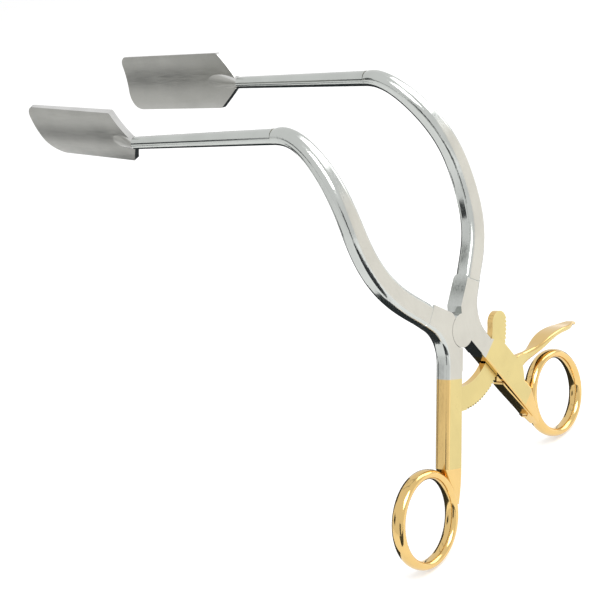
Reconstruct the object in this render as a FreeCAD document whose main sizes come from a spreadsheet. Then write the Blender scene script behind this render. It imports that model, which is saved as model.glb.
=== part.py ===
import FreeCAD, Part
import math
import os
import Sketcher
from FreeCAD import Placement, Rotation, Vector

# Vaginal retractor with a ratchet: two halves cross at a lap joint, each with a finger ring
# below and a bent arm above that ends in a blade. Squeezing the rings spreads the blades.
# X runs to the right, Y from the front faces back along the blades, Z up.
# The origin is the joint's axis on the front face. Lengths are in mm, angles in degrees.

SIZES = {
    # both halves
    "body_depth": 6.0,
    "lap_gap": 0.06,
    "disc_radius": 5.9,
    "disc_clearance": 0.15,
    "handle_angle": 26.4,
    "handle_width": 8.0,
    "inner_round": 0.5,
    "outer_round": 1.8,
    "hub_end": 14.0,
    "hub_overlap": 1.0,
    "arm_step": 0.03,
    "waist_s": 3.4,
    "waist_radius": 12.5,
    "crotch_x": 2.6,
    "crotch_z": 8.0,
    "crotch_radius": 0.9,
    # arm: centre line from the joint to the elbow
    "shoulder_x": 13.4,
    "shoulder_z": 12.6,
    "swell_x": 23.6,
    "swell_y": 3.7,
    "swell_z": 25.0,
    "bow_x": 29.4,
    "bow_y": 6.2,
    "bow_z": 44.0,
    "bend_x": 28.9,
    "bend_y": 8.3,
    "bend_z": 58.5,
    "rise_x": 27.0,
    "rise_y": 13.9,
    "rise_z": 71.5,
    "knee_x": 25.5,
    "knee_y": 22.6,
    "knee_z": 81.0,
    "elbow_x": 25.6,
    "elbow_y": 31.5,
    "elbow_z": 83.7,
    "arm_width": 8.0,
    "rod_diameter": 5.4,
    # shank: round rod from the elbow to the blade
    "neck_x": 28.6,
    "neck_y": 96.0,
    "neck_z": 85.9,
    "neck_diameter": 4.4,
    # blade
    "heel_x": 27.95,
    "heel_y": 103.35,
    "heel_z": 87.9,
    "blade_length": 50.6,
    "blade_short_length": 47.9,
    "blade_height": 20.7,
    "blade_toe_in": 4.6,
    "blade_rise": 4.65,
    "blade_tilt": 13.2,
    "blade_heel_thick": 2.2,
    "blade_tip_thick": 1.4,
    "blade_curve_radius": 34.0,
    "tip_top_round": 3.2,
    "tip_low_round": 8.5,
    "neck_spread": 7.0,
    "neck_height": 4.2,
    "rib_reach": 9.0,
    # finger ring
    "ring_joint": 47.0,
    "ring_distance": 63.1,
    "ring_offset": 15.9,
    "ring_half_length": 15.3,
    "ring_half_width": 14.3,
    "ring_band": 3.3,
    "ring_depth": 5.2,
    "root_middle": 53.0,
    "root_middle_width": 5.0,
    "root_end": 59.5,
    "root_end_width": 2.4,
    # joint screw
    "pivot_radius": 2.0,
    "pivot_skin": 0.7,
    "pivot_head_radius": 3.6,
    "pivot_head_depth": 1.2,
    "pin_clearance": 0.04,
    # ratchet bar
    "bar_inner_radius": 19.6,
    "bar_outer_radius": 28.0,
    "bar_depth": 2.3,
    "bar_end_angle": 104.4,
    "tenon_length": 5.8,
    "tenon_top": 20.2,
    "tenon_low": 27.4,
    "tenon_clearance": 0.05,
    "tooth_pitch": 3.0,
    "tooth_depth": 0.7,
    "tooth_slope": 2.2,
    "tooth_face": 0.4,
    "tooth_count": 29,
    "rivet_radius": 0.8,
    "rivet_inset": 3.0,
    "rivet_spacing": 4.0,
    # slot and cheeks of the right handle
    "slot_depth": 2.7,
    "slot_top": 18.9,
    "slot_low": 41.0,
    "cheek_width": 10.4,
    "cheek_top": 15.0,
    "cheek_low": 37.0,
    # release lever
    "lever_depth": 2.3,
    "lever_pin_x": 3.4,
    "lever_pin_s": 31.4,
    "lever_pin_radius": 1.0,
    "nose_x": 8.2,
    "nose_gap": 0.15,
    "nose_swing": 5.0,
    "heel_reach": 0.4,
    "heel_s": 33.6,
    "stem_x": 10.6,
    "stem_s": 35.6,
    "stem_height": 5.0,
    "pad_width": 8.0,
    "pad_thick": 2.0,
    # leaf spring and its screw
    "spring_depth": 4.4,
    "spring_thick": 0.6,
    "spring_top": 31.8,
    "spring_low": 54.2,
    "spring_foot": 48.6,
    "spring_gap": 0.06,
    "spring_screw_s": 51.8,
    "spring_screw_radius": 0.75,
    "spring_screw_length": 3.2,
    "spring_head_radius": 1.5,
    "spring_head_depth": 0.9,
    "driver_slot": 0.5,
}

doc = FreeCAD.newDocument("Retractor")
sheet = doc.addObject("Spreadsheet::Sheet", "Sizes")
for row, (alias, value) in enumerate(SIZES.items(), start=1):
    sheet.set(f"A{row}", alias)
    sheet.set(f"B{row}", str(value))
    sheet.setAlias(f"B{row}", alias)
doc.recompute()

RIGHT = 1
LEFT = -1
SIDE_NAMES = {RIGHT: "right", LEFT: "left"}


def size(alias):
    return float(sheet.get(alias))


def value_of(expression):
    return float(sheet.evalExpression(expression))


def cell(alias):
    return f"Sizes.{alias}"


def plane_of(body, role):
    return next(f for f in body.Origin.OriginFeatures if f.Role == role)


def new_body(name, placement=None):
    body = doc.addObject("PartDesign::Body", name)
    body.Label = name
    if placement is not None:
        body.Placement = placement
    return body


def new_sketch(body, name, role, offset=None, base_z=None):
    sketch = body.newObject("Sketcher::SketchObject", name)
    sketch.AttachmentSupport = [(plane_of(body, role), "")]
    sketch.MapMode = "FlatFace"
    if offset is not None:
        sketch.AttachmentOffset = offset
    if base_z is not None:
        sketch.setExpression("AttachmentOffset.Base.z", base_z)
    return sketch


def bind(sketch, kind, *where, expression):
    index = sketch.addConstraint(Sketcher.Constraint(kind, *where, value_of(expression)))
    sketch.setExpression(f"Constraints[{index}]", expression)


def pin_point(sketch, geometry, point, x, y):
    bind(sketch, "DistanceX", -1, 1, geometry, point, expression=x)
    bind(sketch, "DistanceY", -1, 1, geometry, point, expression=y)


def circle(sketch, x, y, radius):
    centre = Vector(value_of(x), value_of(y), 0)
    index = sketch.addGeometry(Part.Circle(centre, Vector(0, 0, 1), value_of(radius)))
    pin_point(sketch, index, 3, x, y)
    bind(sketch, "Radius", index, expression=radius)


def ellipse(sketch, x, y, half_x, half_y):
    a = value_of(half_x)
    b = value_of(half_y)
    centre = Vector(value_of(x), value_of(y), 0)
    long_end = Vector(a, 0, 0) if a >= b else Vector(0, b, 0)
    short_end = Vector(0, b, 0) if a >= b else Vector(-a, 0, 0)
    index = sketch.addGeometry(Part.Ellipse(centre + long_end, centre + short_end, centre))
    sketch.exposeInternalGeometry(index)
    pin_point(sketch, index, 3, x, y)
    major, minor = index + 1, index + 2
    sketch.addConstraint(Sketcher.Constraint("Horizontal" if a >= b else "Vertical", major))
    bind(sketch, "Distance", major, expression=f"2 * ({half_x if a >= b else half_y})")
    bind(sketch, "Distance", minor, expression=f"2 * ({half_y if a >= b else half_x})")


def outline(sketch, corners):
    """Closed outline; each corner is x, y and the radius that rounds it, or None."""
    points = [Vector(value_of(x), value_of(y), 0) for x, y, r in corners]
    count = len(points)
    starts, ends, arcs = list(points), list(points), {}
    for i, (x, y, radius) in enumerate(corners):
        if radius is None:
            continue
        to_last = (points[i - 1] - points[i]).normalize()
        to_next = (points[(i + 1) % count] - points[i]).normalize()
        half = to_last.getAngle(to_next) / 2
        r = value_of(radius)
        ends[i] = points[i] + to_last * (r / math.tan(half))
        starts[i] = points[i] + to_next * (r / math.tan(half))
        middle = (to_last + to_next).normalize()
        arcs[i] = points[i] + middle * (r / math.sin(half) - r)
    lines = [
        sketch.addGeometry(Part.LineSegment(starts[i], ends[(i + 1) % count])) for i in range(count)
    ]
    for i, (x, y, radius) in enumerate(corners):
        before, after = lines[i - 1], lines[i]
        if radius is None:
            sketch.addConstraint(Sketcher.Constraint("Coincident", before, 2, after, 1))
            pin_point(sketch, after, 1, x, y)
            continue
        left_turn = (points[i] - points[i - 1]).cross(points[(i + 1) % count] - points[i]).z > 0
        first, last = (ends[i], starts[i]) if left_turn else (starts[i], ends[i])
        arc = sketch.addGeometry(Part.Arc(first, arcs[i], last))
        near, far = (1, 2) if left_turn else (2, 1)
        sketch.addConstraint(Sketcher.Constraint("Tangent", before, 2, arc, near))
        sketch.addConstraint(Sketcher.Constraint("Tangent", after, 1, arc, far))
        corner = sketch.addGeometry(Part.Point(points[i]), True)
        sketch.addConstraint(Sketcher.Constraint("PointOnObject", corner, 1, before))
        sketch.addConstraint(Sketcher.Constraint("PointOnObject", corner, 1, after))
        pin_point(sketch, corner, 1, x, y)
        bind(sketch, "Radius", arc, expression=radius)


def rounded_bar(sketch, near, far, low, high, near_round, far_round):
    """Four-sided section; the corners at far have their own radius."""
    corners = [
        (near, low, near_round),
        (far, low, far_round),
        (far, high, far_round),
        (near, high, near_round),
    ]
    outline(sketch, corners)


def mirrored(side, expression):
    return expression if side == RIGHT else f"-({expression})"


def feature(body, kind, name, profile, **properties):
    made = body.newObject(f"PartDesign::{kind}", name)
    made.Profile = profile
    for key, value in properties.items():
        setattr(made, key, value)
    profile.Visibility = False
    return made


def pad(body, name, profile, length, **properties):
    made = feature(body, "Pad", name, profile, **properties)
    made.setExpression("Length", length)
    doc.recompute()
    return made


def pocket(body, name, profile, length, **properties):
    """Cuts towards +Y from a sketch on the XZ plane, and checks that it took material."""
    before = body.Shape.Volume
    made = feature(body, "Pocket", name, profile, **properties)
    made.setExpression("Length", length)
    doc.recompute()
    if body.Shape.Volume > before - 1e-3:
        raise RuntimeError(f"{name} cuts nothing")
    return made


def loft(body, name, sections):
    made = feature(body, "AdditiveLoft", name, sections[0], Sections=sections[1:], Ruled=False)
    doc.recompute()
    return made


def handle_turn(side):
    """Turns a handle that hangs straight down out to its own side."""
    return Rotation(Vector(0, 1, 0), -side * size("handle_angle"))


def handle_sketch(body, name, side, depth):
    """A sketch whose x runs across the handle and whose y runs up along it, at a depth in Y."""
    offset = Placement(Vector(0, 0, 0), Rotation(Vector(0, 0, 1), side * size("handle_angle")))
    sketch = new_sketch(body, name, "XZ_Plane", offset, f"-({depth})")
    sketch.setExpression("AttachmentOffset.Rotation.Angle", mirrored(side, cell("handle_angle")))
    return sketch


def frame_along(centre, direction):
    """A placement whose z runs along direction and whose x stays nearest to X."""
    z = Vector(direction).normalize()
    x = (Vector(1, 0, 0) - z * z.x).normalize()
    return Placement(centre, Rotation(x, z.cross(x), z, "ZXY"))


def point_of(name, side, y=None):
    depth = size(f"{name}_y") if y is None else y
    return Vector(side * size(f"{name}_x"), depth, size(f"{name}_z"))


# Halves

ARM_STATIONS = 9


def arm_line(side):
    shoulder = point_of("shoulder", side, size("body_depth") / 2)
    rest = [point_of(n, side) for n in ("swell", "bow", "bend", "rise", "knee", "elbow", "neck")]
    start = Vector(rest[0].x - shoulder.x, 0, rest[0].z - shoulder.z)
    curve = Part.BSplineCurve()
    curve.interpolate(
        Points=[shoulder] + rest,
        InitialTangent=start,
        FinalTangent=rest[-1] - rest[-2],
    )
    return curve, curve.parameter(rest[-2])


def shank_end(side):
    elbow, neck = point_of("elbow", side), point_of("neck", side)
    return frame_along(neck, neck - elbow)


def is_outer_edge(edge, side):
    """True for the front and back edges along the hub's waist, where it faces outwards."""
    ends = [v.Point for v in edge.Vertexes]
    if abs(ends[0].y - ends[-1].y) > 0.01:
        return False
    middle = edge.valueAt((edge.FirstParameter + edge.LastParameter) / 2)
    handle_corner = handle_turn(side).multVec(Vector(0, 0, -size("hub_end")))
    inside = abs(middle.x) < abs(handle_corner.x) + size("handle_width") * 0.6
    at_arm = math.hypot(abs(middle.x) - size("shoulder_x"), middle.z - size("shoulder_z")) < 1
    return not inside and not at_arm


def add_hub(body, side):
    """Full-depth plate about the joint, from the top of the handle to the foot of the arm."""
    turn = cell("handle_angle")
    far = f"{cell('hub_end')}"
    wide = cell("handle_width")
    curve, _ = arm_line(RIGHT)
    along = curve.tangent(curve.FirstParameter)[0]
    across = Vector(along.z, 0, -along.x).normalize()
    half = f"{cell('arm_width')} / 2"
    near = cell("waist_s")
    end_x = f"{cell('shoulder_x')} + {round(along.x, 4)} * {cell('hub_overlap')}"
    end_z = f"{cell('shoulder_z')} + {round(along.z, 4)} * {cell('hub_overlap')}"
    to_x, to_z = f"{round(across.x, 4)} * {half}", f"({round(across.z, 4)}) * {half}"
    corners = [
        (f"{far} * sin({turn})", f"-{far} * cos({turn})", None),
        (f"{far} * sin({turn}) + {wide} * cos({turn})", f"{wide} * sin({turn}) - {far} * cos({turn})", None),
        (
            f"{near} * sin({turn}) + {wide} * cos({turn})",
            f"{wide} * sin({turn}) - {near} * cos({turn})",
            cell("waist_radius"),
        ),
        (f"{end_x} + {to_x}", f"{end_z} + {to_z}", None),
        (f"{end_x} - {to_x}", f"{end_z} - {to_z}", None),
        (cell("crotch_x"), cell("crotch_z"), cell("crotch_radius")),
        ("0", "0", None),
    ]
    sketch = new_sketch(body, "HubOutline", "XZ_Plane", base_z=f"-{cell('body_depth')}")
    outline(sketch, [(mirrored(side, x), y, r) for x, y, r in corners])
    hub = pad(body, "Hub", sketch, cell("body_depth"))
    outer_edges = [
        f"Edge{number}"
        for number, edge in enumerate(hub.Shape.Edges, start=1)
        if is_outer_edge(edge, side)
    ]
    rounding = body.newObject("PartDesign::Fillet", "HubRounding")
    rounding.Base = (hub, outer_edges)
    rounding.setExpression("Radius", cell("outer_round"))
    doc.recompute()


def add_lap(body, side):
    """Recess for the other half's lap, then this half's own lap disc."""
    middle = f"{cell('body_depth')} / 2"
    gap = f"{cell('lap_gap')} / 2"
    thick = f"({middle} - {gap})"
    recess_top = middle + " - " + gap if side == RIGHT else "-1"
    recess_depth = f"{middle} + {gap}" if side == RIGHT else f"{middle} + {gap} + 1"
    recess = new_sketch(body, "LapRecess", "XZ_Plane", base_z=f"-({recess_top})")
    circle(recess, "0", "0", f"{cell('disc_radius')} + {cell('disc_clearance')}")
    pocket(body, "Recess", recess, recess_depth)
    disc_back = thick if side == RIGHT else cell("body_depth")
    disc = new_sketch(body, "LapDisc", "XZ_Plane", base_z=f"-({disc_back})")
    circle(disc, "0", "0", cell("disc_radius"))
    pad(body, "Disc", disc, thick)
    hole_start = cell("pivot_skin") if side == RIGHT else "0"
    hole = new_sketch(body, "PivotHole", "XZ_Plane", base_z=f"-({hole_start})")
    circle(hole, "0", "0", f"{cell('pivot_radius')} + {cell('pin_clearance')}")
    pocket(body, "PivotBore", hole, f"{cell('body_depth')} + 1")


def add_handle(body, side):
    """Flat-fronted bar with a rounded outer side, from beside the joint to the ring."""
    turn = Rotation(Vector(0, 1, 0), -side * size("handle_angle"))
    base = turn.multVec(Vector(0, 0, -size("hub_end")))
    sketch = new_sketch(body, "HandleSection", "XY_Plane", Placement(base, turn))
    rounded_bar(
        sketch,
        "0",
        mirrored(side, cell("handle_width")),
        "0",
        cell("body_depth"),
        cell("inner_round"),
        cell("outer_round"),
    )
    pad(body, "Handle", sketch, f"{cell('ring_joint')} - {cell('hub_end')}", Reversed=True)


def add_arm(body, side):
    """Flat-fronted arm that turns round at the elbow, then the tapered round shank."""
    curve, elbow = arm_line(side)
    sections = []
    for station in range(ARM_STATIONS):
        share = station / (ARM_STATIONS - 1)
        at = curve.FirstParameter + share * (elbow - curve.FirstParameter)
        place = frame_along(curve.value(at), curve.tangent(at)[0])
        slim = round(share**2, 4)
        step = cell("arm_step")
        wide, deep, rod = cell("arm_width"), cell("body_depth"), cell("rod_diameter")
        width = f"({wide} - {step} + ({rod} - {wide}) * {slim}) / 2"
        depth = f"({deep} - {step} + ({rod} - {deep}) * {slim}) / 2"
        radius = f"{cell('outer_round')} + ({cell('rod_diameter')} * 0.46 - {cell('outer_round')}) * {slim}"
        sketch = new_sketch(body, f"ArmSection{station}", "XY_Plane", place)
        rounded_bar(sketch, f"-{width}", width, f"-{depth}", depth, radius, radius)
        sections.append(sketch)
    loft(body, "Arm", sections)
    top, end = point_of("elbow", side), point_of("neck", side)
    shank = body.newObject("PartDesign::AdditiveCone", "Shank")
    shank.AttachmentSupport = [(plane_of(body, "XY_Plane"), "")]
    shank.MapMode = "FlatFace"
    shank.AttachmentOffset = frame_along(top, end - top)
    shank.setExpression("Radius1", f"{cell('rod_diameter')} / 2")
    shank.setExpression("Radius2", f"{cell('neck_diameter')} / 2")
    shank.Height = (end - top).Length
    doc.recompute()


def make_half(side):
    body = new_body(f"{SIDE_NAMES[side]}_half")
    add_hub(body, side)
    add_handle(body, side)
    add_arm(body, side)
    return body


def slot_from():
    return f"({cell('body_depth')} - {cell('slot_depth')}) / 2"


def finish_right_half(body):
    """Wide cheeks with the slot that the ratchet bar and the release lever share."""
    wide, top, low = cell("cheek_width"), cell("cheek_top"), cell("cheek_low")
    cheeks = handle_sketch(body, "CheekOutline", RIGHT, cell("body_depth"))
    corners = [
        ("0.5", f"-{top}", None),
        ("0.5", f"-({low} + 5)", None),
        (f"{cell('handle_width')} - 1.9", f"-({low} + 5)", None),
        (wide, f"-{low}", "2"),
        (wide, f"-({top} + 6)", "6"),
        (f"{cell('handle_width')} - 1", f"-{top}", None),
    ]
    outline(cheeks, corners)
    pad(body, "Cheeks", cheeks, cell("body_depth"))
    slot = handle_sketch(body, "SlotOutline", RIGHT, slot_from())
    corners = [
        ("-2", f"-{cell('slot_top')}", None),
        ("-2", f"-{cell('slot_low')}", None),
        (f"{wide} + 2", f"-{cell('slot_low')}", None),
        (f"{wide} + 2", f"-({cell('slot_top')} - 4.2)", None),
        ("4", f"-({cell('slot_top')} - 0.3)", None),
    ]
    outline(slot, corners)
    pocket(body, "Slot", slot, cell("slot_depth"))
    hole = handle_sketch(body, "LeverPinHole", RIGHT, "-1")
    circle(hole, cell("lever_pin_x"), f"-{cell('lever_pin_s')}", f"{cell('lever_pin_radius')} + 0.01")
    pocket(body, "LeverPinBore", hole, f"{cell('body_depth')} + 2")
    add_lap(body, RIGHT)


def finish_left_half(body):
    """Mortise for the ratchet bar's tenon and the two rivet holes."""
    play = cell("tenon_clearance")
    depth = f"({cell('body_depth')} - {cell('bar_depth')}) / 2 - {play}"
    mortise = handle_sketch(body, "MortiseOutline", LEFT, depth)
    corners = [
        (f"-({cell('tenon_length')} + {play})", f"-({cell('tenon_top')} - {play})", None),
        (f"-({cell('tenon_length')} + {play})", f"-({cell('tenon_low')} + {play})", None),
        ("1", f"-({cell('tenon_low')} + {play})", None),
        ("1", f"-({cell('tenon_top')} - {play})", None),
    ]
    outline(mortise, corners)
    pocket(body, "Mortise", mortise, f"{cell('bar_depth')} + 2 * {play}")
    holes = handle_sketch(body, "RivetHoles", LEFT, "-1")
    for s in rivet_places():
        circle(holes, f"-{cell('rivet_inset')}", f"-({s})", f"{cell('rivet_radius')} + 0.01")
    pocket(body, "RivetBores", holes, f"{cell('body_depth')} + 2")
    add_lap(body, LEFT)


def rivet_places():
    middle = f"({cell('tenon_top')} + {cell('tenon_low')}) / 2"
    return [f"{middle} - {cell('rivet_spacing')} / 2", f"{middle} + {cell('rivet_spacing')} / 2"]


# Blades

def blade_frame(side):
    """x along the blade, y up its height, z across its thickness."""
    turn = Rotation(Vector(0, 0, 1), side * size("blade_toe_in"))
    rise = Rotation(Vector(1, 0, 0), size("blade_rise"))
    along = turn.multVec(rise.multVec(Vector(0, 1, 0)))
    up = Rotation(along, side * size("blade_tilt")).multVec(turn.multVec(rise.multVec(Vector(0, 0, 1))))
    return Placement(point_of("heel", side), Rotation(along, up, along.cross(up), "XYZ"))


def blade_section(body, name, at, thick, side):
    """Band between two arcs, bowed outwards, across the blade's height."""
    sketch = new_sketch(body, name, "YZ_Plane", base_z=at)
    half = value_of(f"{cell('blade_height')} / 2 + 2")
    outer = size("blade_curve_radius")
    inner = outer - value_of(thick)
    centre = -side * (outer - value_of(f"{cell('blade_heel_thick')} / 2"))
    arcs = []
    for radius in (inner, outer):
        reach = math.sqrt(radius**2 - half**2)
        ends = [Vector(h, centre + side * reach, 0) for h in (-half, half)]
        middle = Vector(0, centre + side * radius, 0)
        arcs.append((ends, middle))
    (low_in, high_in), mid_in = arcs[0]
    (low_out, high_out), mid_out = arcs[1]
    sketch.addGeometry(Part.Arc(low_in, mid_in, high_in))
    sketch.addGeometry(Part.LineSegment(high_in, high_out))
    sketch.addGeometry(Part.Arc(high_out, mid_out, low_out))
    sketch.addGeometry(Part.LineSegment(low_out, low_in))
    return sketch


def make_blade(side):
    place = blade_frame(side)
    body = new_body(f"{SIDE_NAMES[side]}_blade", place)
    heel = blade_section(body, "HeelSection", f"-{cell('neck_spread')}", cell("blade_heel_thick"), side)
    tip = blade_section(body, "TipSection", f"{cell('blade_length')} + 1", cell("blade_tip_thick"), side)
    loft(body, "Plate", [heel, tip])
    neck = place.inverse() * shank_end(side)
    low = round(neck.Base.y, 3)
    half = f"{cell('blade_height')} / 2"
    trim = new_sketch(body, "BladeOutline", "XY_Plane", base_z="-20")
    outline(trim, [("-30", "-30", None), ("90", "-30", None), ("90", "30", None), ("-30", "30", None)])
    corners = [
        (f"-{cell('neck_spread')} + 0.4", f"{low} - {cell('neck_height')} / 2", None),
        ("0", f"-{half}", "1.2"),
        (cell("blade_short_length"), f"-{half}", cell("tip_low_round")),
        (cell("blade_length"), half, cell("tip_top_round")),
        ("0", half, "1.2"),
        (f"-{cell('neck_spread')} + 0.4", f"{low} + {cell('neck_height')} / 2", None),
    ]
    outline(trim, corners)
    pocket(body, "Trim", trim, "40", Reversed=True)
    start = new_sketch(body, "NeckStart", "XY_Plane", neck)
    circle(start, "0", "0", f"{cell('neck_diameter')} / 2")
    middle = new_sketch(body, "NeckMiddle", "YZ_Plane", base_z="-1.5")
    ellipse(middle, f"{low} * 0.5", "0", f"{cell('neck_height')} * 0.8", f"{cell('neck_diameter')} * 0.38")
    end = new_sketch(body, "NeckEnd", "YZ_Plane", base_z=cell("rib_reach"))
    ellipse(end, "0", "0", f"{cell('neck_height')} * 0.75", f"{cell('blade_tip_thick')} * 0.42")
    loft(body, "Neck", [start, middle, end])
    return body


# Finger rings

def make_ring(side):
    """Oval band on a root that carries the handle's section on and tapers beside the ring."""
    body = new_body(f"{SIDE_NAMES[side]}_finger_ring", Placement(Vector(0, 0, 0), handle_turn(side)))
    middle = f"{cell('body_depth')} / 2"
    path = new_sketch(body, "RingPath", "XZ_Plane", base_z=f"-{middle}")
    across = mirrored(side, cell("ring_offset"))
    ellipse(path, across, f"-{cell('ring_distance')}", cell("ring_half_width"), cell("ring_half_length"))
    section = new_sketch(body, "RingSection", "YZ_Plane", base_z=across)
    top = f"-({cell('ring_distance')} - {cell('ring_half_length')})"
    ellipse(section, middle, top, f"{cell('ring_depth')} / 2", f"{cell('ring_band')} / 2")
    band = feature(body, "AdditivePipe", "Band", section, Spine=(path, ["Edge1"]))
    band.Mode = "Standard"
    path.Visibility = False
    doc.recompute()
    stations = [
        ("ring_joint", cell("handle_width"), cell("body_depth"), cell("outer_round")),
        ("root_middle", cell("root_middle_width"), f"{cell('ring_depth')} + 0.4", "1.5"),
        ("root_end", cell("root_end_width"), f"{cell('ring_depth')} * 0.8", "1.0"),
    ]
    sections = []
    for name, width, depth, radius in stations:
        sketch = new_sketch(body, f"Root_{name}", "XY_Plane", base_z=f"-{cell(name)}")
        low, high = f"{middle} - ({depth}) / 2", f"{middle} + ({depth}) / 2"
        rounded_bar(sketch, "0", mirrored(side, width), low, high, cell("inner_round"), radius)
        sections.append(sketch)
    loft(body, "Root", sections)
    return body


def bore_ring_for_screw(body):
    """Blind hole for the leaf spring's screw, in from the inner side of the root."""
    hole = new_sketch(body, "ScrewHole", "YZ_Plane", base_z="-1")
    radius = f"{cell('spring_screw_radius')} + 0.01"
    circle(hole, f"{cell('body_depth')} / 2", f"-{cell('spring_screw_s')}", radius)
    before = body.Shape.Volume
    cut = feature(body, "Pocket", "ScrewBore", hole, Reversed=True)
    cut.setExpression("Length", f"{cell('spring_screw_length')} + 1.1")
    doc.recompute()
    if body.Shape.Volume > before - 1e-3:
        raise RuntimeError("ScrewBore cuts nothing")


# Ratchet

def nose_tip():
    """The lever's nose at rest, just off the teeth, in the right handle's own frame."""
    reach = size("bar_outer_radius") + size("nose_gap")
    x = size("nose_x")
    return Vector(x, 0, -math.sqrt(reach**2 - x**2))


def engaged_angle():
    """Where the nose lies on the bar when it has dropped between two teeth."""
    pin = Vector(size("lever_pin_x"), 0, -size("lever_pin_s"))
    turned = Rotation(Vector(0, 1, 0), -size("nose_swing")).multVec(nose_tip() - pin) + pin
    return math.degrees(math.atan2(turned.x, -turned.z)) + 2 * size("handle_angle")


def on_bar(radius, angle):
    return (f"({radius}) * sin({angle})", f"-({radius}) * cos({angle})")


def make_bar():
    """Curved bar about the joint's axis, with fine ratchet teeth on its outer edge."""
    body = new_body("ratchet_bar", Placement(Vector(0, 0, 0), handle_turn(LEFT)))
    back = f"({cell('body_depth')} + {cell('bar_depth')}) / 2"
    inner, outer, end = size("bar_inner_radius"), size("bar_outer_radius"), size("bar_end_angle")
    round_end = (outer - inner) / 2
    middle = (outer + inner) / 2
    stop = end - math.degrees(round_end / middle)

    def at(radius, angle):
        a = math.radians(angle)
        return Vector(radius * math.sin(a), -radius * math.cos(a), 0)

    flat = new_sketch(body, "BarOutline", "XZ_Plane", base_z=f"-({back})")
    flat.addGeometry(Part.Arc(at(inner, 0), at(inner, stop / 2), at(inner, stop)))
    cap = at(middle, stop) + (at(middle, stop + 90 / 1.0) - Vector(0, 0, 0)).normalize() * round_end
    flat.addGeometry(Part.Arc(at(inner, stop), cap, at(outer, stop)))
    flat.addGeometry(Part.Arc(at(outer, stop), at(outer, stop / 2), at(outer, 0)))
    flat.addGeometry(Part.LineSegment(at(outer, 0), at(inner, 0)))
    pad(body, "Bar", flat, cell("bar_depth"))
    tenon = new_sketch(body, "TenonOutline", "XZ_Plane", base_z=f"-({back})")
    corners = [
        (f"-{cell('tenon_length')}", f"-{cell('tenon_top')}", None),
        (f"-{cell('tenon_length')}", f"-{cell('tenon_low')}", None),
        ("0.4", f"-{cell('tenon_low')}", None),
        ("0.4", f"-{cell('tenon_top')}", None),
    ]
    outline(tenon, corners)
    pad(body, "Tenon", tenon, cell("bar_depth"))
    holes = new_sketch(body, "BarRivetHoles", "XZ_Plane", base_z="1")
    for s in rivet_places():
        circle(holes, f"-{cell('rivet_inset')}", f"-({s})", f"{cell('rivet_radius')} + 0.01")
    pocket(body, "BarRivetBores", holes, f"{cell('body_depth')} + 2")
    root = engaged_angle() + size("tooth_face") / 4
    first = root - math.floor((root - 12) / size("tooth_pitch")) * size("tooth_pitch")
    gap = new_sketch(body, "ToothGap", "XZ_Plane", base_z="1")
    deep = f"{cell('bar_outer_radius')} - {cell('tooth_depth')}"
    high = f"{cell('bar_outer_radius')} + 0.6"
    turn = round(first, 5)
    corners = [
        (*on_bar(cell("bar_outer_radius"), f"{turn} - {cell('tooth_slope')}"), None),
        (*on_bar(deep, f"{turn}"), None),
        (*on_bar(cell("bar_outer_radius"), f"{turn} + {cell('tooth_face')}"), None),
        (*on_bar(high, f"{turn} - {cell('tooth_slope')} / 2"), None),
    ]
    outline(gap, corners)
    cut = pocket(body, "Tooth", gap, f"{cell('body_depth')} + 2")
    teeth = body.newObject("PartDesign::PolarPattern", "Teeth")
    teeth.Originals = [cut]
    teeth.Axis = (plane_of(body, "Y_Axis"), [""])
    teeth.Reversed = True
    teeth.setExpression("Occurrences", cell("tooth_count"))
    teeth.setExpression("Angle", f"{cell('tooth_pitch')} * ({cell('tooth_count')} - 1)")
    body.Tip = teeth
    doc.recompute()
    return body


# Release lever

PAD_STATIONS = [
    # along the handle's width, along its length, height, width in Y, all beside the sizes
    (14.6, 38.4, 4.4, 2.4),
    (18.6, 40.9, 3.3, 3.6),
    (23.2, 43.0, 2.4, 6.2),
    (29.0, 45.4, 2.0, 7.8),
    (34.6, 49.2, 1.9, 7.6),
    (40.0, 54.0, 1.7, 5.6),
    (43.8, 57.8, 1.2, 2.2),
]


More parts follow.
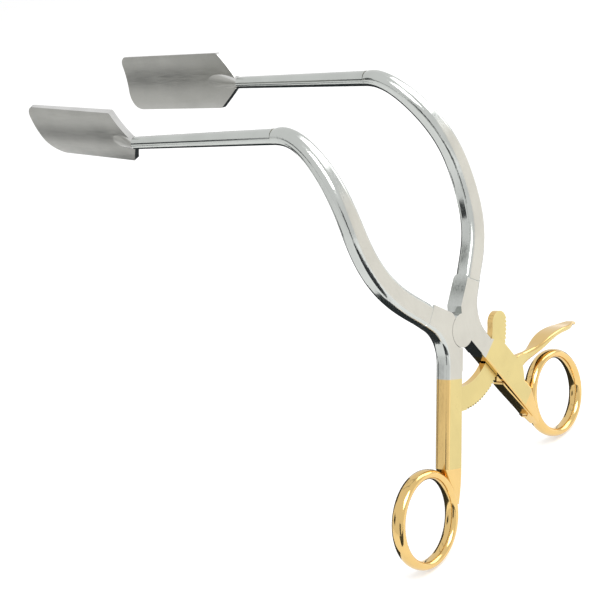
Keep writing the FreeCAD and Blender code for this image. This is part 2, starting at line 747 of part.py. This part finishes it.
def make_lever():
    """Flat plate in the slot with nose and heel, and a stem that spreads into a thumb pad."""
    body = new_body("release_lever", Placement(Vector(0, 0, 0), handle_turn(RIGHT)))
    back = f"({cell('body_depth')} + {cell('lever_depth')}) / 2"
    tip = nose_tip()
    radial = Vector(tip.x, 0, tip.z).normalize()
    tangent = Vector(-radial.z, 0, radial.x)
    steep = tip + radial * 1.6 + tangent * 0.1
    gentle = tip + radial * 0.7 - tangent * 0.6
    plate = new_sketch(body, "LeverOutline", "XZ_Plane", base_z=f"-({back})")
    pin_x, pin_s = cell("lever_pin_x"), cell("lever_pin_s")
    stem_x, stem_s, high = cell("stem_x"), cell("stem_s"), cell("stem_height")
    corners = [
        (str(round(tip.x, 4)), str(round(tip.z, 4)), None),
        (str(round(gentle.x, 4)), str(round(gentle.z, 4)), None),
        (f"{pin_x} + 1.6", f"-({pin_s} - 2.1)", "1"),
        (f"{pin_x} - 1.4", f"-({pin_s} - 2.1)", "1.4"),
        (f"-{cell('heel_reach')}", f"-({cell('heel_s')} - 1)", "0.6"),
        (f"-{cell('heel_reach')}", f"-({cell('heel_s')} + 1)", "0.6"),
        (f"{pin_x} + 0.8", f"-({stem_s} + 1.2)", "2"),
        (f"{stem_x} + 0.9", f"-({stem_s} + {high} * 0.62)", None),
        (f"{stem_x} + 2.6", f"-({stem_s} - {high} * 0.12)", None),
        (str(round(steep.x, 4)), str(round(steep.z, 4)), None),
    ]
    outline(plate, corners)
    pad(body, "Plate", plate, cell("lever_depth"))
    middle = Vector(0, size("body_depth") / 2, 0)
    line = [Vector(x, 0, -s) + middle for x, s, high, wide in PAD_STATIONS]
    line.insert(0, Vector(size("stem_x") - 0.4, 0, -size("stem_s")) + middle)
    curve = Part.BSplineCurve()
    curve.interpolate(line)
    shapes = [(size("stem_height"), size("lever_depth"))] + [(h, w) for x, s, h, w in PAD_STATIONS]
    sections = []
    for index, (point, (height, width)) in enumerate(zip(line, shapes)):
        direction = curve.tangent(curve.parameter(point))[0]
        across = Vector(0, 1, 0)
        place = Placement(point, Rotation(direction.cross(across), across * -1, direction, "ZXY"))
        sketch = new_sketch(body, f"StemSection{index}", "XY_Plane", place)
        h, w = f"{height} / 2", f"{width} / 2"
        radius = f"{round(min(height, width) * 0.42, 3)}"
        rounded_bar(sketch, f"-{h}", h, f"-{w}", w, radius, radius)
        sections.append(sketch)
    loft(body, "ThumbPad", sections)
    hole = new_sketch(body, "LeverHole", "XZ_Plane", base_z="1")
    circle(hole, pin_x, f"-{pin_s}", f"{cell('lever_pin_radius')} + {cell('pin_clearance')}")
    pocket(body, "LeverBore", hole, f"{cell('body_depth')} + 2")
    return body


def make_spring():
    """Flat strip that lies on the handle's inner side and leans out to the lever's heel."""
    body = new_body("leaf_spring", Placement(Vector(0, 0, 0), handle_turn(RIGHT)))
    back = f"({cell('body_depth')} + {cell('spring_depth')}) / 2"
    strip = new_sketch(body, "StripOutline", "XZ_Plane", base_z=f"-({back})")
    lean = f"({cell('heel_reach')} + {cell('spring_gap')})"
    thick = cell("spring_thick")
    corners = [
        ("0", f"-{cell('spring_low')}", None),
        ("0", f"-{cell('spring_foot')}", "20"),
        (f"-{lean}", f"-({cell('heel_s')} + 2)", "20"),
        (f"-{lean}", f"-{cell('spring_top')}", None),
        (f"-({lean} + {thick})", f"-({cell('spring_top')} + 0.2)", None),
        (f"-({lean} + {thick})", f"-({cell('heel_s')} + 2)", "20"),
        (f"-{thick}", f"-{cell('spring_foot')}", "20"),
        (f"-{thick}", f"-{cell('spring_low')}", None),
    ]
    outline(strip, corners)
    pad(body, "Strip", strip, cell("spring_depth"))
    hole = new_sketch(body, "StripHole", "YZ_Plane", base_z="-2")
    radius = f"{cell('spring_screw_radius')} + 0.05"
    circle(hole, f"{cell('body_depth')} / 2", f"-{cell('spring_screw_s')}", radius)
    before = body.Shape.Volume
    cut = feature(body, "Pocket", "StripBore", hole, Reversed=True)
    cut.Length = 4
    doc.recompute()
    if body.Shape.Volume > before - 1e-3:
        raise RuntimeError("StripBore cuts nothing")
    return body


# Pins and screws

ALONG_Y = Rotation(Vector(1, 0, 0), -90)
ALONG_X = Rotation(Vector(0, 1, 0), 90)


def cylinder(name, radius, height, place):
    made = doc.addObject("Part::Cylinder", name)
    made.setExpression("Radius", radius)
    made.setExpression("Height", height)
    made.Placement = place
    return made


def slotted(name, label, shank, head, slot_place, slot_length, place):
    """Joins a shank and a head and cuts the driver's slot across the head."""
    whole = doc.addObject("Part::Fuse", f"{name}Blank")
    whole.Base, whole.Tool = shank, head
    slot = doc.addObject("Part::Box", f"{name}Slot")
    slot.setExpression("Length", slot_length)
    slot.setExpression("Width", cell("driver_slot"))
    slot.setExpression("Height", cell("driver_slot"))
    slot.Placement = slot_place
    made = doc.addObject("Part::Cut", name)
    made.Label = label
    made.Base, made.Tool = whole, slot
    made.Placement = place
    return made


def make_pivot_screw():
    """Screw from the back through the rear lap into the front lap, with a low slotted head."""
    start = size("pivot_skin") + size("lap_gap")
    seat = size("body_depth") + size("lap_gap")
    length = f"{cell('body_depth')} - {cell('pivot_skin')} + 0.1"
    shank = cylinder("PivotShank", cell("pivot_radius"), length, Placement(Vector(0, start, 0), ALONG_Y))
    place = Placement(Vector(0, seat, 0), ALONG_Y)
    head = cylinder("PivotHead", cell("pivot_head_radius"), cell("pivot_head_depth"), place)
    top = seat + size("pivot_head_depth") - size("driver_slot")
    corner = Vector(-size("pivot_head_radius"), top, -size("driver_slot") / 2)
    return slotted(
        "PivotScrew",
        "pivot_screw",
        shank,
        head,
        Placement(corner, Rotation()),
        f"2 * {cell('pivot_head_radius')}",
        Placement(Vector(0, 0, 0), Rotation(Vector(0, 1, 0), 35)),
    )


def make_lever_pin():
    place = Placement(Vector(size("lever_pin_x"), 0, -size("lever_pin_s")), ALONG_Y)
    turned = Placement(Vector(0, 0, 0), handle_turn(RIGHT)) * place
    made = cylinder("LeverPin", cell("lever_pin_radius"), cell("body_depth"), turned)
    made.Label = "lever_pin"
    return made


def make_rivets():
    turned = Placement(Vector(0, 0, 0), handle_turn(LEFT))
    pins = []
    for index, s in enumerate(rivet_places()):
        place = Placement(Vector(-size("rivet_inset"), 0, -value_of(s)), ALONG_Y)
        pins.append(cylinder(f"Rivet{index}", cell("rivet_radius"), cell("body_depth"), turned * place))
    made = doc.addObject("Part::Compound", "Rivets")
    made.Links = pins
    made.Label = "bar_rivets"
    return made


def make_spring_screw():
    middle = size("body_depth") / 2
    seat = -size("spring_thick")
    end = size("spring_screw_length") - 0.1
    at = Vector(seat - 0.2, middle, -size("spring_screw_s"))
    shank_length = f"{end - seat + 0.2}"
    shank = cylinder("SpringShank", cell("spring_screw_radius"), shank_length, Placement(at, ALONG_X))
    out = Vector(seat - size("spring_head_depth"), middle, -size("spring_screw_s"))
    place = Placement(out, ALONG_X)
    head = cylinder("SpringHead", cell("spring_head_radius"), cell("spring_head_depth"), place)
    corner = out + Vector(0, -size("spring_head_radius"), -size("driver_slot") / 2)
    slot_place = Placement(corner, Rotation(Vector(0, 0, 1), 90))
    slot_place.Base = corner + Vector(size("driver_slot"), 0, 0)
    return slotted(
        "SpringScrew",
        "spring_screw",
        shank,
        head,
        slot_place,
        f"2 * {cell('spring_head_radius')}",
        Placement(Vector(0, 0, 0), handle_turn(RIGHT)),
    )


nodes = []
for side in (LEFT, RIGHT):
    half = make_half(side)
    if side == RIGHT:
        finish_right_half(half)
    else:
        finish_left_half(half)
    ring = make_ring(side)
    if side == RIGHT:
        bore_ring_for_screw(ring)
    nodes += [half, make_blade(side), ring]
nodes += [make_bar(), make_rivets(), make_lever(), make_lever_pin()]
nodes += [make_spring(), make_spring_screw(), make_pivot_screw()]

doc.recompute()
for item in doc.Objects:
    if "Invalid" in item.State or "Error" in item.State:
        raise RuntimeError(f"{item.Label} failed: {item.State}")
os.makedirs("parts", exist_ok=True)
for node in nodes:
    shape = node.Shape
    if shape.isNull() or not shape.isValid():
        raise RuntimeError(f"{node.Label} has no valid shape")
    box = shape.BoundBox
    print(
        f"{node.Label}: {len(shape.Solids)} solid, {shape.Volume:.0f} mm3,"
        f" X {box.XMin:.1f} to {box.XMax:.1f}, Y {box.YMin:.1f} to {box.YMax:.1f},"
        f" Z {box.ZMin:.1f} to {box.ZMax:.1f}"
    )
    shape.exportStep(f"parts/{node.Label}.step")
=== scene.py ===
import math

import bpy
from mathutils import Matrix, Vector


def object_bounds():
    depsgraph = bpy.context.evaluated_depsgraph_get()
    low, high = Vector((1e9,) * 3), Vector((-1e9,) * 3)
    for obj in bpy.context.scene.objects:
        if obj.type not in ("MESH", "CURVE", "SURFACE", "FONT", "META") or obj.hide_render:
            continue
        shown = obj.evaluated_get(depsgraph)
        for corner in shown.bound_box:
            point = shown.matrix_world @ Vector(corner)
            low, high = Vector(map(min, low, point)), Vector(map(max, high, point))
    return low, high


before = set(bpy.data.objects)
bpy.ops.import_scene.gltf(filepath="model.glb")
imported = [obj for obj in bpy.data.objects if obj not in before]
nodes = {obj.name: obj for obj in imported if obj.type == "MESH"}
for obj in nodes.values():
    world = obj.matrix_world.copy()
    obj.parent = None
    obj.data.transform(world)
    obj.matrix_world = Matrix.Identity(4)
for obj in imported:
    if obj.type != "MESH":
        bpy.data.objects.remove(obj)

# Looks of a retractor: satin and polished steel above, gold plated handles and rings below.
# Lengths are in metres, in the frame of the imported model.

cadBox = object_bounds()

handle = {
    "angle": math.radians(26.4),
    "platingStart": 0.0165,
    "platingEdge": 0.00025,
}

# Each look has a colour and a roughness for its satin flats and for its polished rounds. The roughness
# differs with the real finish, but the two colours are one metal with painted reflection: gold rounds
# deeper, blade flats darker than their lighter edges, steel rounds a little cooler.
steelLook = {
    "flat": (0.545, 0.53, 0.475, 1),
    "round": (0.52, 0.54, 0.52, 1),
    "cloud": 0.06,
    "polished": 0.12,
    "satin": 0.42,
}

# painted reflection: blade flats darker and blade edges lighter, though they are one steel
bladeLook = {
    "flat": (0.41, 0.41, 0.385, 1),
    "round": (0.62, 0.62, 0.61, 1),
    "cloud": 0.10,
    "polished": 0.14,
    "satin": 0.33,
}

# painted reflection: gold rounds deeper orange and gold flats paler, though they are one plating
goldLook = {
    "flat": (0.63, 0.52, 0.23, 1),
    "round": (0.72, 0.50, 0.20, 1),
    "cloud": 0.06,
    "polished": 0.10,
    "satin": 0.36,
}

# Clouds are soft patches of darker metal, and grain is the fine brushing.
surface = {
    "cloudScale": 90.0,
    "cloudDetail": 4.0,
    "cloudRange": (0.35, 0.7),
    "cloudColour": (0, 0, 0, 1),
    "grainScale": 1500.0,
    "grainDetail": 2.0,
    "grainRange": (0.3, 0.7),
    "grainRoughness": (-0.02, 0.05),
    "grainStrength": 0.25,
    "grainDepth": 0.000006,
    "evenGrain": (1, 1, 1),
    "handleGrain": (1, 1, 0.12),
    "bladeGrain": (1, 0.08, 1),
    "frontFacing": (0.90, 0.985),
    "bladeFacing": (0.75, 0.9),
}


def newMaterial(name):
    material = bpy.data.materials.new(name)
    material.use_nodes = True
    tree = material.node_tree
    shader = tree.nodes["Principled BSDF"]
    shader.inputs["Metallic"].default_value = 1.0
    return material, tree, shader


def addNode(tree, kind, **settings):
    node = tree.nodes.new(kind)
    for key, value in settings.items():
        setattr(node, key, value)
    return node


def feed(tree, node, **values):
    # a socket takes a link when it is given another node's output, else a plain value
    for key, value in values.items():
        socket = node.inputs[int(key[1:])] if key[0] == "_" else node.inputs[key]
        if isinstance(value, bpy.types.NodeSocket):
            tree.links.new(value, socket)
        else:
            socket.default_value = value
    return node


def maths(tree, operation, a, b=0.0):
    node = addNode(tree, "ShaderNodeMath", operation=operation)
    return feed(tree, node, _0=a, _1=b).outputs[0]


def ramp(tree, value, low, high, toLow=0.0, toHigh=1.0):
    node = addNode(tree, "ShaderNodeMapRange", interpolation_type="SMOOTHSTEP")
    feed(tree, node, _0=value, _1=low, _2=high, _3=toLow, _4=toHigh)
    return node.outputs[0]


def blendColours(tree, share, a, b):
    node = addNode(tree, "ShaderNodeMix", data_type="RGBA")
    feed(tree, node, _0=share, _6=a, _7=b)
    return node.outputs[2]


def blendNumbers(tree, share, a, b):
    node = addNode(tree, "ShaderNodeMix", data_type="FLOAT")
    feed(tree, node, _0=share, _2=a, _3=b)
    return node.outputs[0]


def places(tree):
    return addNode(tree, "ShaderNodeTexCoord")


def along(tree, vector, direction):
    node = addNode(tree, "ShaderNodeVectorMath", operation="DOT_PRODUCT")
    feed(tree, node, _0=vector)
    node.inputs[1].default_value = direction
    return node.outputs["Value"]


def noise(tree, vector, scale, detail, stretch=(1, 1, 1), turn=(0, 0, 0)):
    mapping = addNode(tree, "ShaderNodeMapping")
    feed(tree, mapping, Vector=vector)
    mapping.inputs["Scale"].default_value = stretch
    mapping.inputs["Rotation"].default_value = turn
    node = addNode(tree, "ShaderNodeTexNoise")
    feed(tree, node, Vector=mapping.outputs[0], Scale=scale, Detail=detail)
    return node.outputs["Fac"]


def metalLook(tree, look, flat, stretch, turn=(0, 0, 0)):
    # colour, roughness and fine grain of one finish; the flat mask is 1 on the satin flats and 0 on
    # polished rounds, and sets both the real satin roughness and a painted reflection, a different colour
    # for the flats and rounds of one metal
    where = places(tree).outputs["Object"]
    cloud = noise(tree, where, surface["cloudScale"], surface["cloudDetail"])
    grain = noise(tree, where, surface["grainScale"], surface["grainDetail"], stretch, turn)
    # painted reflection: flats and rounds of one metal get different colours by the way they face
    colour = blendColours(tree, flat, look["round"], look["flat"])
    shade = ramp(tree, cloud, *surface["cloudRange"], 0.0, look["cloud"])
    colour = blendColours(tree, shade, colour, surface["cloudColour"])
    rough = blendNumbers(tree, flat, look["polished"], look["satin"])
    rough = maths(tree, "ADD", rough, ramp(tree, grain, *surface["grainRange"], *surface["grainRoughness"]))
    return colour, rough, grain


def finishMaterial(tree, shader, colour, rough, grain):
    bump = addNode(tree, "ShaderNodeBump")
    feed(tree, bump, Height=grain, Strength=surface["grainStrength"], Distance=surface["grainDepth"])
    tree.links.new(colour, shader.inputs["Base Color"])
    tree.links.new(rough, shader.inputs["Roughness"])
    tree.links.new(bump.outputs[0], shader.inputs["Normal"])


def facing(tree, direction, limits):
    # 1 where the surface faces along the direction or against it, as the flats of the handles do
    normal = places(tree).outputs["Normal"]
    return ramp(tree, maths(tree, "ABSOLUTE", along(tree, normal, direction)), *limits)


def facingFront(tree):
    return facing(tree, (0, 1, 0), surface["frontFacing"])


def makeHalfMaterial(name, side):
    # steel near the pivot and gold further down the handle, with a straight edge across it
    material, tree, shader = newMaterial(name)
    angle = handle["angle"]
    down = (side * math.sin(angle), 0, -math.cos(angle))
    reach = along(tree, places(tree).outputs["Object"], down)
    start, edge = handle["platingStart"], handle["platingEdge"]
    plated = ramp(tree, reach, start - edge, start + edge)
    flat = facingFront(tree)
    grainTurn = (0, side * angle, 0)
    steel = metalLook(tree, steelLook, flat, surface["handleGrain"], grainTurn)
    gold = metalLook(tree, goldLook, flat, surface["handleGrain"], grainTurn)
    colour = blendColours(tree, plated, steel[0], gold[0])
    rough = blendNumbers(tree, plated, steel[1], gold[1])
    finishMaterial(tree, shader, colour, rough, steel[2])
    return material


def makeGoldMaterial(name, flats):
    material, tree, shader = newMaterial(name)
    flat = facingFront(tree) if flats else 0.0
    finishMaterial(tree, shader, *metalLook(tree, goldLook, flat, surface["handleGrain"]))
    return material


def makeBladeMaterial(name):
    material, tree, shader = newMaterial(name)
    flat = facing(tree, (1, 0, 0), surface["bladeFacing"])
    finishMaterial(tree, shader, *metalLook(tree, bladeLook, flat, surface["bladeGrain"]))
    return material


def makeSteelMaterial(name):
    material, tree, shader = newMaterial(name)
    finishMaterial(tree, shader, *metalLook(tree, steelLook, facingFront(tree), surface["evenGrain"]))
    return material


def paint(material, *names):
    for name in names:
        mesh = nodes[name].data
        mesh.materials.clear()
        mesh.materials.append(material)


paint(makeHalfMaterial("leftForging", -1), "left_half")
paint(makeHalfMaterial("rightForging", 1), "right_half")
paint(makeBladeMaterial("satinBlade"), "left_blade", "right_blade")
paint(makeGoldMaterial("ringGold", False), "left_finger_ring", "right_finger_ring")
paint(makeGoldMaterial("plateGold", True), "ratchet_bar", "release_lever", "bar_rivets", "lever_pin")
paint(makeGoldMaterial("springGold", False), "leaf_spring", "spring_screw")
paint(makeSteelMaterial("screwSteel"), "pivot_screw")
print("materials done")

# Floor, sky, lights and camera

studio = {
    "floorSize": 6.0,
    "floorGap": 0.0005,
    "floorColour": (0.75, 0.75, 0.75, 1),
    "floorRoughness": 0.9,
    "floorGlow": 0.38,
    "white": (1, 1, 1, 1),
    "skyLight": 0.75,
    "skySeen": 1.0,
}


def seenDirectly(tree):
    # 1 for the rays of the camera and of mirror images, 0 for the light on the object
    rays = addNode(tree, "ShaderNodeLightPath")
    seen = maths(tree, "MAXIMUM", rays.outputs["Is Camera Ray"], rays.outputs["Is Glossy Ray"])
    return maths(tree, "MAXIMUM", seen, rays.outputs["Is Transmission Ray"])


def plainMaterial(name, colour, roughness):
    material = bpy.data.materials.new(name)
    material.use_nodes = True
    shader = material.node_tree.nodes["Principled BSDF"]
    shader.inputs["Base Color"].default_value = colour
    shader.inputs["Roughness"].default_value = roughness
    return material, shader


def makeFloor():
    bpy.ops.object.select_all(action="DESELECT")
    level = cadBox[0].z - studio["floorGap"]
    bpy.ops.mesh.primitive_plane_add(size=studio["floorSize"], location=(0, 0, level))
    floor = bpy.context.object
    floor.name = "floor"
    material, shader = plainMaterial("floorPaper", studio["floorColour"], studio["floorRoughness"])
    shader.inputs["Emission Color"].default_value = studio["white"]
    tree = material.node_tree
    glow = maths(tree, "MULTIPLY", seenDirectly(tree), studio["floorGlow"])
    tree.links.new(glow, shader.inputs["Emission Strength"])
    floor.data.materials.append(material)


def makeWorld():
    world = bpy.data.worlds.new("studioWorld")
    bpy.context.scene.world = world
    world.use_nodes = True
    tree = world.node_tree
    background = tree.nodes["Background"]
    strength = blendNumbers(tree, seenDirectly(tree), studio["skyLight"], studio["skySeen"])
    tree.links.new(strength, background.inputs["Strength"])
    background.inputs["Color"].default_value = studio["white"]


# Dark cards that only reflections see: the first three lie just above the floor, the others stand.
# Each has a place above the floor, a size and a turn about X, Y and Z in degrees.
cards = [
    {"name": "leftFrontCard", "place": (-0.32, -0.155, 0.002), "size": (0.46, 0.31), "turn": (0, 0, 0)},
    {"name": "underCard", "place": (0.06, 0.18, 0.002), "size": (0.26, 0.33), "turn": (0, 0, 0)},
    {"name": "bladeCard", "place": (-0.20, 0.44, 0.002), "size": (0.20, 0.20), "turn": (0, 0, 0)},
    {"name": "tipCard", "place": (-0.42, 0.50, 0.20), "size": (0.22, 0.16), "turn": (90, 0, 45)},
    {"name": "backCard", "place": (0.16, 0.62, 0.16), "size": (0.50, 0.34), "turn": (90, 0, 0)},
    {"name": "sideCard", "place": (-0.75, -0.25, 0.12), "size": (0.30, 0.34), "turn": (90, 0, 70)},
]
cardLook = {
    "colour": (0.015, 0.02, 0.022, 1),
    "roughness": 1.0,
}


def makeCards():
    material, shader = plainMaterial("cardPaper", cardLook["colour"], cardLook["roughness"])
    for card in cards:
        x, y, z = card["place"]
        turn = [math.radians(angle) for angle in card["turn"]]
        place = (x, y, cadBox[0].z + z)
        bpy.ops.mesh.primitive_plane_add(size=1, location=place, rotation=turn)
        sheet = bpy.context.object
        sheet.name = card["name"]
        sheet.scale = (*card["size"], 1)
        sheet.data.materials.append(material)
        sheet.visible_camera = False
        sheet.visible_diffuse = False
        sheet.visible_shadow = False


# Lights, with a place, a size and a power in watts
lights = [
    {"name": "keyLight", "place": (-0.3, -0.7, 0.9), "size": (0.6, 0.6), "power": 8},
    {"name": "fillLight", "place": (0.8, -0.3, 0.5), "size": (0.5, 0.8), "power": 3},
]
lightAim = (0, 0.05, 0)


def makeLights():
    for setting in lights:
        data = bpy.data.lights.new(setting["name"], "AREA")
        data.shape = "RECTANGLE"
        data.size, data.size_y = setting["size"]
        data.energy = setting["power"]
        light = bpy.data.objects.new(setting["name"], data)
        light.location = setting["place"]
        bpy.context.scene.collection.objects.link(light)
        light.rotation_mode = "QUATERNION"
        light.rotation_quaternion = (Vector(lightAim) - light.location).to_track_quat("-Z", "Y")


view = {
    "azimuth": math.radians(-43.06),
    "elevation": math.radians(20.87),
    "roll": math.radians(18.67),
    "aim": (-0.0325, 0.0374, 0.0275),
    "distance": 0.5,
    "lens": 89.11,
    "sensor": 36.0,
}


def makeCamera():
    a, e = view["azimuth"], view["elevation"]
    back = Vector((math.sin(a) * math.cos(e), -math.cos(a) * math.cos(e), math.sin(e)))
    level = Vector((math.cos(a), math.sin(a), 0))
    upright = back.cross(level)
    right = level * math.cos(view["roll"]) - upright * math.sin(view["roll"])
    up = back.cross(right)
    data = bpy.data.cameras.new("camera")
    data.lens = view["lens"]
    data.sensor_width = view["sensor"]
    camera = bpy.data.objects.new("camera", data)
    bpy.context.scene.collection.objects.link(camera)
    camera.rotation_mode = "QUATERNION"
    camera.rotation_quaternion = Matrix((right, up, back)).transposed().to_quaternion()
    camera.location = Vector(view["aim"]) + back * view["distance"]
    bpy.context.scene.camera = camera


makeFloor()
makeCards()
makeWorld()
makeLights()
makeCamera()
bpy.context.scene.view_settings.view_transform = "Standard"
print("studio done")
